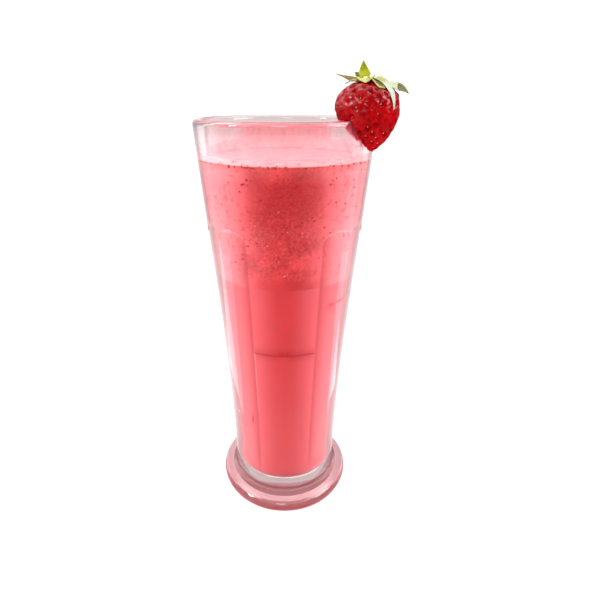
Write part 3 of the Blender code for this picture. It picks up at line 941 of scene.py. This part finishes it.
# name, direction round the stalk, length, width, slopes at the root and the tip, roll, how blunt the tip is;
# then where the colour changes along the leaf, and its colours at the root and the end
sepals = (
    ("sepalUpright", 100.0, 0.0068, 0.0054, (72.0, 88.0), 0.0, 1.6,
     (0.3, 1.1), (0.42, 0.43, 0.030), (0.25, 0.29, 0.006)),
    ("sepalOlive", 150.0, 0.0044, 0.0084, (34.0, 56.0), 0.0, 4.0,
     (0.2, 0.8), (0.36, 0.36, 0.06), (0.13, 0.15, 0.008)),
    ("sepalStraw", 184.0, 0.0104, 0.0044, (8.0, 28.0), 40.0, 0.8,
     (0.3, 0.9), (0.50, 0.46, 0.22), (0.50, 0.45, 0.26)),
    ("sepalThin", 214.0, 0.0090, 0.0026, (6.0, -14.0), 20.0, 1.6,
     (0.6, 0.9), (0.84, 0.80, 0.48), (0.16, 0.12, 0.06)),
    ("sepalFront", 260.0, 0.0054, 0.0072, (14.0, -34.0), 0.0, 3.0,
     (0.3, 1.0), (0.56, 0.53, 0.24), (0.50, 0.47, 0.16)),
    ("sepalCurled", 304.0, 0.0092, 0.0054, (12.0, -78.0), 0.0, 5.0,
     (0.1, 1.0), (0.44, 0.43, 0.16), (0.50, 0.47, 0.18)),
    ("sepalHanging", 318.0, 0.0168, 0.0056, (4.0, -98.0), 0.0, 1.8,
     (0.1, 0.6), (0.40, 0.44, 0.22), (0.54, 0.59, 0.49)),
    ("sepalRight", 351.0, 0.0154, 0.0042, (-10.0, -34.0), 34.0, 9.0,
     (0.66, 0.72), (0.56, 0.61, 0.42), (0.085, 0.066, 0.001)),
    ("sepalBackRight", 26.0, 0.0106, 0.0044, (4.0, -34.0), 0.0, 2.2,
     (0.2, 0.9), (0.66, 0.70, 0.30), (0.28, 0.33, 0.03)),
    ("sepalBack", 62.0, 0.0096, 0.0044, (10.0, -24.0), 0.0, 2.2,
     (0.2, 0.9), (0.66, 0.70, 0.30), (0.26, 0.32, 0.03)),
)
sepal = {
    "thickness": 0.00022,
    "ripple": 0.00035,
    "cup": 0.30,
    "rootWidth": 0.42,  # share of the width at the stalk, full at this share of the length
    "fullWidthAt": 0.35,
    "clearance": 0.00022,
    "across": 8,
    "along": 22,
    "crownRadius": 0.0034,
    "crownThickness": 0.0009,
    "crownRise": 0.0004,
    "crownRows": (  # shares of the radius and of half the thickness
        (0.55, -1.0), (0.9, -0.4), (1.0, 0.2), (0.85, 1.0), (0.45, 1.3), (0.30, 1.8), (0.26, 2.8), (0.12, 3.0)),
    "crownColumns": 28,
}


def clearOfSkin(tree, point):
    # moves a point that is inside or too near the strawberry out to just above its skin
    nearest, normal, _, _ = tree.find_nearest(point)
    if (point - nearest).dot(normal) < sepal["clearance"]:
        return nearest + normal * sepal["clearance"]
    return point


def makeSepal(index, leaf, skin, crownHeight):
    name, azimuth, length, width, slopes, roll, blunt = leaf[:7]
    deselectAll()
    bpy.ops.mesh.primitive_grid_add(x_subdivisions=sepal["across"], y_subdivisions=sepal["along"], size=1.0)
    piece = newPrimitive(name)
    heading = math.radians(azimuth)
    ahead = Vector((math.cos(heading), math.sin(heading), 0.0))
    across = Vector((-math.sin(heading), math.cos(heading), 0.0))
    rolled = Matrix.Rotation(math.radians(roll), 3, ahead) @ across
    spot = ahead * (0.35 * sepal["crownRadius"]) + Vector((0.0, 0.0, crownHeight))
    rows = []
    for row in range(sepal["along"] + 1):  # the leaf's spine, bending from one slope to the other
        share = row / sepal["along"]
        slope = math.radians(slopes[0] + (slopes[1] - slopes[0]) * share)
        rows.append((spot, Vector((0.0, 0.0, math.cos(slope))) - ahead * math.sin(slope), share))
        forward = ahead * math.cos(slope) + Vector((0.0, 0.0, math.sin(slope)))
        spot = spot + forward * (length / sepal["along"])
    place = berryFrame()
    for vertex in piece.data.vertices:
        side = 2.0 * vertex.co.x
        middle, up, share = rows[round((vertex.co.y + 0.5) * sepal["along"])]
        turned = across.lerp(rolled, blend(share * 2.0)).normalized()
        root = sepal["rootWidth"] + (1.0 - sepal["rootWidth"]) * blend(share / sepal["fullWidthAt"])
        wide = root * (1.0 - share ** blunt) + 0.03
        half = 0.5 * width * wide
        ripple = sepal["ripple"] * wide * math.sin(2.4 * math.pi * share + index)
        wave = 0.5 * sepal["ripple"] * wide * side * math.sin(9.0 * share + 2.0 * index)
        cup = sepal["cup"] * half * side * side
        point = place @ (middle + turned * (half * side) + up * (ripple + wave + cup))
        vertex.co = clearOfSkin(skin, point)
    piece.data.update()
    thick = piece.modifiers.new("thickness", "SOLIDIFY")
    thick.thickness = sepal["thickness"]
    thick.offset = 0.0
    subdivideOnce(piece)
    applyModifiers(piece)
    return finishMesh(piece, 80.0)


def leafMaterial(leaf):
    change, root, end = leaf[7:]
    material, tree, shader = newMaterial(
        leaf[0] + "Skin", root, 0.5, IOR=1.4, Specular_IOR_Level=0.12, Subsurface_Weight=0.25,
        Subsurface_Radius=(0.0008, 0.0010, 0.0003))
    spots = useGroup(tree, mottle, Scale=700.0, Detail=3.0, Low=0.3, High=0.75,
                     Deep=root, Pale=tuple(0.86 * value for value in root))
    coords = addNode(tree, "ShaderNodeTexCoord").outputs["UV"]
    veins = addNode(tree, "ShaderNodeTexWave", bands_direction="X")
    veins = feed(veins, Vector=coords, Scale=1.6, Distortion=1.2, Detail=2.0).outputs["Fac"]
    color = tintOver(spots["Color"], (rampOf(axesOf(tree, "UV")["Y"], *change), end),
                     (rampOf(veins, 0.75, 1.0, 0.0, 0.45), tuple(min(1.0, 1.25 * value) for value in root)))
    feed(shader, Base_Color=color)
    bumpFrom(shader, veins, 0.3, 0.0001)
    return material


def makeCrown(crownHeight):
    # the short round stump that the sepals grow from
    half = 0.5 * sepal["crownThickness"]
    rows = [(across * sepal["crownRadius"], up * half) for across, up in sepal["crownRows"]]
    piece = pullRings("calyxCrown", rows, sepal["crownColumns"])
    subdivideOnce(piece)
    applyModifiers(piece)
    piece.data.transform(berryFrame() @ Matrix.Translation((0.0, 0.0, crownHeight)))
    return finishMesh(piece, 60.0)


def present(piece, node, *materials):
    # puts the materials on the piece, hangs it from the root and hides the model's own part
    if materials:
        putOn(piece, *materials)
    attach(piece, "root")
    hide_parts(node)


mottle = makeMottle()
speckle = makeSpeckle()

glassBody = makeGlass()
glassBody.visible_shadow = False
present(glassBody, "glass", glassMaterial())
print("glass made:", len(glassBody.data.polygons), "faces")

juiceBody = makeJuice()
present(juiceBody, "juice", juiceMaterial())

frothBody = makeFroth()
putOn(frothBody, frothMaterial(), surfaceMaterial())
for face in frothBody.data.polygons:
    if face.center.z > drink["level"] - 0.0002 and face.normal.z > 0.3:
        face.material_index = 1
present(frothBody, "froth")

frothFilm = makeFilm()
frothFilm.visible_shadow = False
present(frothFilm, "froth", filmMaterial())

present(makeLineSeeds(), "froth", bitMaterial("floatingSeed", (0.24, 0.016, 0.008), (0.50, 0.060, 0.028)))
present(makePulpBits(), "froth", bitMaterial("fruitPulp", (0.38, 0.002, 0.004), (0.52, 0.006, 0.008)))
print("drink made")

places = seedPlaces()
strawberry = makeBerry(places)
putOn(strawberry, skinMaterial(), fleshMaterial())
cutSlit(strawberry)
for face in strawberry.data.polygons:  # the half inside the glass shows its pale flesh
    inside = math.hypot(face.center.x, face.center.y) < boreRadius(face.center.z)
    if inside and face.center.z < glassHigh.z:
        face.material_index = 1
finishMesh(strawberry, 50.0)
present(strawberry, "strawberry")
berrySeed = bitMaterial("berrySeed", (0.70, 0.24, 0.12), (0.90, 0.50, 0.32))
present(makeBerrySeeds(places), "strawberry", berrySeed)
print("strawberry made:", len(strawberry.data.polygons), "faces")

skinTree = BVHTree.FromObject(strawberry, bpy.context.evaluated_depsgraph_get())
crownHeight = berry["height"] - berry["dip"] + sepal["crownRise"]
present(makeCrown(crownHeight), "calyx", bitMaterial("crownGreen", (0.56, 0.56, 0.22), (0.74, 0.72, 0.38)))
for index, leaf in enumerate(sepals):
    present(makeSepal(index, leaf, skinTree, crownHeight), "calyx", leafMaterial(leaf))
print("leaves made")


studio = {
    "cameraPlace": (0.0, -0.19676, 0.20268),
    "cameraTilt": 25.22,
    "sensor": 36.0,  # in millimetres, as the lens is
    "lens": 25.78,
    "shift": 0.0258,
    "nearest": 0.01,
    "floorRadius": 0.95,
    "floorMiddle": -0.40,
    "floorGap": 0.0003,
    "backLight": 1.2,  # the studio's own brightness behind the glass and in front of it
    "frontLight": 0.10,
    "overhead": 1.2,
    "overheadSpread": 80.0,
    "stripFoot": 0.075,  # tall light panels at both sides, leaning away from the glass
    "stripRise": 0.003,
    "stripTop": (0.40, 0.48),
    "stripParts": (("Panel", 0.0, 0.19), ("Upper", 0.19, 1.0)),  # start and end along the lean
    "strips": (  # name, side, angle, width, colour, power of each part
        ("left", -1.0, 80.0, 0.10, (1.0, 0.92, 0.96), (0.048, 0.075)),
        ("right", 1.0, 83.0, 0.06, (1.0, 0.88, 0.97), (0.046, 0.09)),
    ),
    "floorLamps": (("leftLamp", (-0.36, -0.02, 0.50)), ("rightLamp", (0.36, -0.02, 0.50))),
    "floorLampPower": 0.8,
    "floorLampSize": (0.30, 0.40),
    "floorLampSpread": 110.0,
    "frontAim": (0.01, 0.0, 0.13),
    "frontLamps": (  # name, place, size, power
        ("keySoftbox", (-0.06, -0.46, 0.60), (0.17, 0.17), 0.55),
        ("rightSide", (0.42, -0.12, 0.44), (0.25, 0.25), 1.55),
        ("leftSide", (-0.42, -0.17, 0.46), (0.09, 0.09), 1.7),
    ),
}


def addToScene(name, data):
    thing = bpy.data.objects.new(name, data)
    bpy.context.scene.collection.objects.link(thing)
    return thing


def makeFloor():
    deselectAll()
    bpy.ops.mesh.primitive_circle_add(vertices=96, radius=studio["floorRadius"], fill_type="TRIFAN",
                                      location=(0.0, studio["floorMiddle"], -studio["floorGap"]))
    floor = newPrimitive("studioFloor")
    putOn(floor, newMaterial("paleFloor", (0.93, 0.93, 0.93), 0.6)[0])


def addLight(name, place, aim, size, power, color=(1.0, 1.0, 1.0)):
    data = bpy.data.lights.new(name, "AREA")
    data.shape = "RECTANGLE"
    data.size, data.size_y = size
    data.energy = power
    data.color = color
    light = addToScene(name, data)
    light.location = place
    light.rotation_euler = (Vector(aim) - Vector(place)).to_track_quat("-Z", "Y").to_euler()
    light.visible_camera = False
    return light


def addStrip(name, side, angle, width, color, powers):
    # its front edge leans along one direction, seen from the glass, from the floor to the top
    angle = math.radians(angle)
    out = ringPoint(1.0, side * angle, 0.0)
    back = Vector((side * math.cos(angle), math.sin(angle), 0.0))
    low = out * studio["stripFoot"] + Vector((0.0, 0.0, studio["stripRise"]))
    high = out * studio["stripTop"][0] + Vector((0.0, 0.0, studio["stripTop"][1]))
    for (part, start, end), power in zip(studio["stripParts"], powers):
        foot = low.lerp(high, start)
        top = low.lerp(high, end)
        size = (width, (top - foot).length)
        panel = addLight(name + part, (0.0, 0.0, 0.0), (0.0, 0.0, -1.0), size, power, color)
        lean = (top - foot).normalized()
        away = lean.cross(back)
        away *= 1.0 if away.dot(out) > 0.0 else -1.0
        turn = Matrix((lean.cross(away), lean, away)).transposed().to_4x4()
        panel.matrix_world = Matrix.Translation((foot + top) * 0.5 + back * (0.5 * width)) @ turn


def makeStudio():
    makeFloor()
    world = bpy.data.worlds.new("studioWorld")
    bpy.context.scene.world = world
    world.use_nodes = True
    tree = world.node_tree
    depth = axesOf(tree, "Generated")["Y"]
    strength = rampOf(depth, -0.3, 0.5, studio["frontLight"], studio["backLight"])
    feed(tree.nodes["Background"], Color=(1.0, 1.0, 1.0), Strength=strength)
    for strip in studio["strips"]:
        addStrip(*strip)
    for name, place in studio["floorLamps"]:
        aim = (place[0], place[1], 0.0)
        lamp = addLight(name, place, aim, studio["floorLampSize"], studio["floorLampPower"])
        lamp.data.spread = math.radians(studio["floorLampSpread"])
    for name, place, size, power in studio["frontLamps"]:
        addLight(name, place, studio["frontAim"], size, power)
    sun = bpy.data.lights.new("overheadLight", "SUN")
    sun.energy = studio["overhead"]
    sun.angle = math.radians(studio["overheadSpread"])
    addToScene("overheadLight", sun)
    bpy.context.scene.view_settings.view_transform = "Standard"


def makeCamera():
    data = bpy.data.cameras.new("studioCamera")
    data.sensor_width = studio["sensor"]
    data.lens = studio["lens"]
    data.shift_x = studio["shift"]
    data.clip_start = studio["nearest"]
    camera = addToScene("studioCamera", data)
    camera.location = studio["cameraPlace"]
    camera.rotation_euler = (math.radians(90.0 - studio["cameraTilt"]), 0.0, 0.0)
    bpy.context.scene.camera = camera


makeStudio()
makeCamera()
print("studio made")
